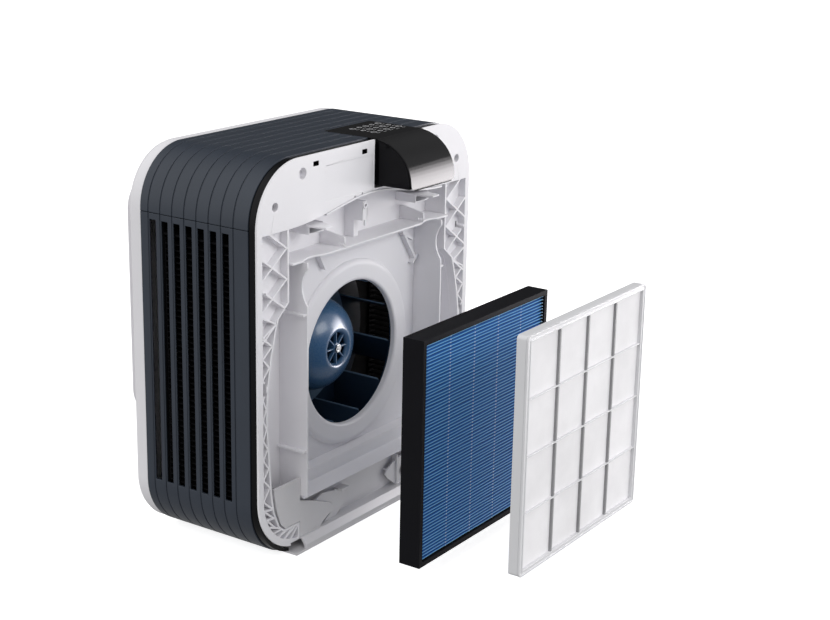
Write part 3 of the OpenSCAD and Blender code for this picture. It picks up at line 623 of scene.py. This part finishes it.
ICON_PITCH = 13 * MM
ICON_ROW = 1.2 * ICON_PITCH
ICON_ROWS = 3
ICON_COLUMNS = 5
ICON_LINE = 0.9 * MM
ICON_LARGE = 4.2 * MM
ICON_SMALL = 3.2 * MM
ICON_START = (34 * MM, 30 * MM)
DASH = (1.5 * MM, 0.8 * MM)
DASH_PITCH = 2.2 * MM
DASH_DROP = 8 * MM
ROUND_END = 0.2 * MM
OPEN_HALF = 35


def ring_icon(shape, centre, radius, place, gap):
    """A ring of constant line width, open at the top by gap degrees to each side."""
    steps = 20
    rims = []
    for r in (radius, radius - ICON_LINE):
        angles = [math.radians(90 + gap + (360 - 2 * gap) * i / steps) for i in range(steps + 1)]
        rims.append([(centre[0] + r * math.cos(a), centre[1] + r * math.sin(a)) for a in angles])
    for i in range(steps):
        shape.prism([rims[0][i], rims[0][i + 1], rims[1][i + 1], rims[1][i]], *place, level)


def touch_panel():
    """The flush glass and its printed marks, which are plain rings and dashes."""
    place = (panel_high.z - 0.06 * MM, panel_high.z - 0.03 * MM)
    glass = Shape()
    low, high = (panel_low.x, panel_low.y), (panel_high.x, panel_high.y)
    glass.prism(rounded(low, high, 2 * MM), panel_low.z, panel_high.z - 0.08 * MM, level)
    make_piece("touch_glass", glass, "housing", "touch_gloss", ["touch_panel"], bevel=0.25 * MM)
    marks = Shape()
    for row in range(ICON_ROWS):
        for i in range(ICON_COLUMNS):
            x = panel_low.x + ICON_START[0] + ICON_PITCH * i
            y = panel_low.y + ICON_START[1] + ICON_ROW * row
            r = ICON_SMALL if (i + row) % 2 else ICON_LARGE
            ring_icon(marks, (x, y), r, place, OPEN_HALF if i == row else 0)
            bar = rounded((x - ICON_LINE / 2, y), (x + ICON_LINE / 2, y + r), ROUND_END)
            marks.prism(bar, *place, level)
            for k in range(3):
                left = x - 3 * MM + DASH_PITCH * k
                low_corner = (left, y - DASH_DROP)
                high_corner = (left + DASH[0], y - DASH_DROP + DASH[1])
                marks.prism(rounded(low_corner, high_corner, ROUND_END), *place, level)
    make_piece("touch_marks", marks, "housing", "prefilter_white")


def sweep(a, depth):
    """The display's curve as (y, z): a = 0 at the top edge, a = 90 degrees at its nose."""
    low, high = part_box("display_window")
    reach = high.y - low.y
    y = high.y - (reach - depth) * math.sin(a) ** 1.15
    z = low.z + depth + (high.z - low.z - 2 * depth) * max(math.cos(a), 0) ** 0.8
    return y, z


def display_lens():
    """The curved gloss front of the display, with round lower corners."""
    low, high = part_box("display_window")
    radius = 8 * MM
    steps = 40
    curve = [math.pi / 2 * i / steps for i in range(steps + 1)]
    run = [0.0]
    for a, b in zip(curve[::-1], curve[-2::-1]):
        run.append(run[-1] + (Vector(sweep(a, 0)) - Vector(sweep(b, 0))).length)
    run.reverse()
    rows = []
    for a, along in zip(curve, run):
        short = max(0, radius - along)
        cut = radius - math.sqrt(max(0, radius ** 2 - short ** 2))
        face, back = sweep(a, 0), sweep(a, 2.4 * MM)
        left, right = low.x + cut, high.x - cut
        rows.append([(left, *face), (right, *face), (right, *back), (left, *back)])
    shape = Shape()
    shape.grid(rows, loop=True, caps=True)
    replaced = ["display_window"]
    make_piece("display_lens", shape, "housing", "display_gloss", replaced, bevel=0.8 * MM, angle=50)


# The two slots in the frame's header, a dark lining in each and a dark sheet behind them: painted shade that
# makes the slots read black.
SLOT_MIDDLES = (-108 * MM, -16 * MM)
SLOT_HALF = 4.95 * MM
SLOT_FLOOR = 456.05 * MM
SLOT_ROOF = 461.45 * MM
LINING = 0.3 * MM
BACKING_T = 1.2 * MM
BACKING_X = (-113 * MM, -26.5 * MM)
BACKING_Z = (451.5 * MM, 463.5 * MM)


def header_slot_shade():
    """Painted shade for the header's slots: a dark sheet behind them and a dark lining in each."""
    low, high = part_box("front_frame")
    shape = Shape()
    back = high.y + 0.2 * MM
    # The dark sheet behind the slots: painted shade.
    shape.box((BACKING_X[0], back, BACKING_Z[0]), (BACKING_X[1], back + BACKING_T, BACKING_Z[1]))
    for x in SLOT_MIDDLES:
        corners = Vector((x - SLOT_HALF, 0, SLOT_FLOOR)), Vector((x + SLOT_HALF, 0, SLOT_ROOF))
        front = low.y + 0.25 * MM
        section = [(0, front), (0, high.y), (LINING, high.y), (LINING, front)]
        frame_ring(shape, *corners, LINING, section)
    make_piece("header_slot_shade", shape, "housing", "inner_plastic")


# ---------- fan ----------

HUB_R = 58 * MM
HUB_NOSE_R = 20 * MM
HUB_HOLE_R = 19 * MM
HUB_LIP_R = 28 * MM
HUB_MID = -11 * MM
HUB_BACK = 14 * MM
HUB_WALL = 2 * MM
SEAM_IN = 51 * MM
SEAM_OUT = 52.6 * MM
SEAM_DEPTH = 0.35 * MM


def hub():
    """The domed hub: a fine seam near its edge and a soft lip round the hole in its nose."""
    low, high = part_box("impeller_hub")
    centre = ((low.x + high.x) / 2, (low.z + high.z) / 2)
    depth = (HUB_MID - low.y) / math.sin(math.acos(HUB_NOSE_R / HUB_R))
    end = math.acos(HUB_LIP_R / HUB_R)
    steps = 30
    outer = [(HUB_R, HUB_BACK)]
    for i in range(steps + 1):
        a = end * i / steps
        outer.append((HUB_R * math.cos(a), HUB_MID - depth * math.sin(a)))
    seam = next(i for i, (r, y) in enumerate(outer) if SEAM_IN < r < SEAM_OUT and y < HUB_MID)
    outer[seam] = (outer[seam][0] - SEAM_DEPTH, outer[seam][1] + SEAM_DEPTH)
    start = Vector(outer[-1])
    pull = Vector((HUB_HOLE_R + 1.5 * MM, low.y - 0.6 * MM))
    stop = Vector((HUB_HOLE_R, low.y + 8 * MM))
    lip = []
    for i in range(1, 11):
        t = i / 10
        lip.append(tuple(start * (1 - t) ** 2 + pull * 2 * t * (1 - t) + stop * t ** 2))
    inner = [(HUB_HOLE_R + HUB_WALL, low.y + 8 * MM)]
    reach = math.acos((HUB_HOLE_R + HUB_WALL) / (HUB_R - HUB_WALL))
    for i in range(19, -1, -1):
        a = reach * i / 20
        inner.append(((HUB_R - HUB_WALL) * math.cos(a), HUB_MID - (depth - HUB_WALL) * math.sin(a)))
    inner.append((HUB_R - HUB_WALL, HUB_BACK))
    shape = Shape()
    shape.turned(outer + lip + inner, centre, steps=128)
    make_piece("hub_shell", shape, "impeller", "hub_blue", ["impeller_hub"])


# ---------- filters ----------

# Rounded crest of a pleat in millimetres: height from its middle, distance back.
CREST_CURVE = ((-0.62, 0.7), (-0.34, 0.15), (0, 0), (0.34, 0.15), (0.62, 0.7))

# The prefilter's section in millimetres: distance in from its edge, distance back.
RIM_GROOVE = ((0, 0), (0, 1.8), (1.0, 1.9), (1.0, 3.1), (0.4, 3.2))
FACE_GROOVE = ((5.4, 0), (5.2, 0.8), (2.4, 0.8), (2.2, 0))
RIM_STEP = 0.4 * MM
CELLS = 4
POST_HALF = 1.4 * MM
RAIL_HALF = 0.6 * MM
KNOT = (2.1 * MM, 1.5 * MM)

hepa_low, hepa_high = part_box("hepa_frame")
pre_low, pre_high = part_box("prefilter_frame")
HEPA_RIM = 6 * MM
PLEATS = 66
PRE_RIM = 7 * MM
BEADS = 6
FOLD_GAP = 2.5 * MM
PAPER = 9 * MM
BEAD_R = 0.8 * MM
CREST_Y = hepa_low.y + FOLD_GAP
VALLEY_Y = hepa_high.y - FOLD_GAP


def crest_shift(i, x, waves):
    """How far the crest of pleat i wanders up or down at x."""
    a, b = waves[i % len(waves)]
    return 0.16 * MM * math.sin(40 * x + a) + 0.12 * MM * math.sin(95 * x + b)


def pleats():
    """One folded sheet with rounded crests that wander a little, and its glue beads."""
    dice = random.Random(5)
    waves = [(dice.uniform(0, 6), dice.uniform(0, 6)) for _ in range(PLEATS)]
    left, right = hepa_low.x + HEPA_RIM, hepa_high.x - HEPA_RIM
    low, high = hepa_low.z + HEPA_RIM, hepa_high.z - HEPA_RIM
    pitch = (high - low) / PLEATS
    stations = 36
    rows = []
    for n in range(stations + 1):
        x = left + (right - left) * n / stations
        front = []
        back = []
        for i in range(PLEATS):
            z = low + pitch * (i + 0.5) + crest_shift(i, x, waves)
            front.append((x, VALLEY_Y - PAPER, low + pitch * i))
            for up, rise in CREST_CURVE:
                front.append((x, CREST_Y + rise * MM, z + up * MM))
            back.append((x, VALLEY_Y, low + pitch * i))
            back.append((x, CREST_Y + PAPER, z))
        front.append((x, VALLEY_Y - PAPER, high))
        back.append((x, VALLEY_Y, high))
        rows.append(front + back[::-1])
    sheet = Shape()
    sheet.grid(rows, loop=True, caps=True)
    make_piece("hepa_pleats", sheet, "fine_filter", "filter_media", ["hepa_media"])
    glue = Shape()
    for k in range(BEADS):
        x = left + 1 * MM + (right - left - 2 * MM) * k / (BEADS - 1)
        for i in range(PLEATS):
            z = low + pitch * (i + 0.5) + crest_shift(i, x, waves)
            size = dice.uniform(0.75, 1.1) * MM
            glue.blob((x, CREST_Y + 0.1 * MM, z), (size, BEAD_R, BEAD_R))
    make_piece("hepa_glue", glue, "fine_filter", "filter_beads", ["hepa_beads"])


def frame_ring(shape, low, high, radius, section):
    """A ring round the X-Z rectangle low..high; section lists (inset, y), and is closed."""
    rows = []
    for depth, y in section + section[:1]:
        corner = max(radius - depth, 0.6 * MM)
        ring = rounded((low.x + depth, low.z + depth), (high.x - depth, high.z - depth), corner)
        rows.append([upright(u, v, y) for u, v in ring])
    shape.grid(rows, loop=True)


def prefilter():
    """The white frame with its grooved front, its ribs and its net."""
    front, back = pre_low.y, pre_high.y
    section = [(depth * MM, front + y * MM) for depth, y in RIM_GROOVE]
    section += [(RIM_STEP, back), (PRE_RIM, back), (PRE_RIM, front)]
    section += [(depth * MM, front + y * MM) for depth, y in FACE_GROOVE]
    ring = Shape()
    frame_ring(ring, pre_low, pre_high, 5 * MM, section)
    make_piece("prefilter_rim", ring, "prefilter", "prefilter_white", ["prefilter_frame"], 0.25 * MM)
    left, right = pre_low.x + PRE_RIM, pre_high.x - PRE_RIM
    low, high = pre_low.z + PRE_RIM, pre_high.z - PRE_RIM
    net_low, net_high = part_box("prefilter_mesh")
    rib_back = net_low.y + 0.2 * MM
    posts = Shape()
    rails = Shape()
    for i in range(1, CELLS):
        x = left + (right - left) * i / CELLS
        z = low + (high - low) * i / CELLS
        post = rounded((x - POST_HALF, low - MM), (x + POST_HALF, high + MM), 0.3 * MM)
        rail = rounded((left - MM, z - RAIL_HALF), (right + MM, z + RAIL_HALF), 0.3 * MM)
        posts.prism(post, front + 1 * MM, rib_back, upright)
        rails.prism(rail, front + 0.6 * MM, rib_back, upright)
        for k in range(1, CELLS):
            u = left + (right - left) * k / CELLS
            dot = [(u + KNOT[0] * math.cos(a), z + KNOT[1] * math.sin(a)) for a in turns(20)]
            rails.prism(dot, front + 0.4 * MM, front + 2 * MM, upright)
    bars = make_piece("prefilter_posts", posts, "prefilter", "prefilter_white", bevel=0.2 * MM)
    # The posts take the darker grey copy: painted shade on their sides.
    bars.data.materials[0] = MATERIALS["prefilter_post_shade"]
    make_piece("prefilter_rails", rails, "prefilter", "prefilter_white", ["prefilter_grid"], 0.2 * MM)
    net = Shape()
    net.prism(rounded((left, low), (right, high), 0.6 * MM), net_low.y, net_high.y, upright)
    make_piece("prefilter_net", net, "prefilter", "prefilter_net", ["prefilter_mesh"])


# ---------- assembly ----------

MATERIALS = make_materials()
add_camera()
add_world()
add_area("key", (0.4, -2.4, 1.4), (0, -0.1, 0.2), (1.3, 0.9), 19)
add_low_panel()
add_floor()

wrap_top()
wrap_side("left")
wrap_side("right")
touch_panel()
display_lens()
header_slot_shade()
hub()
pleats()
prefilter()

# CAD nodes that a piece above replaces, and round ones that keep their packed shading.
DRAWN = {"wrap_top", "wrap_left", "wrap_right", "touch_panel", "display_window", "impeller_hub",
         "hepa_media", "hepa_beads", "prefilter_frame", "prefilter_grid", "prefilter_mesh"}
TURNED = {"inlet_bellmouth", "impeller_backplate", "impeller_shroud", "motor_can",
          "motor_stator", "motor_rotor", "motor_shaft", "front_bearing", "rear_bearing"}
for name in sorted(NODES):
    if name in DRAWN:
        continue
    if name in TURNED:
        refine(name, weld=False)
    else:
        refine(name, bevel=0.4 * MM)

bpy.context.scene.view_settings.view_transform = "Standard"
bpy.context.view_layer.update()
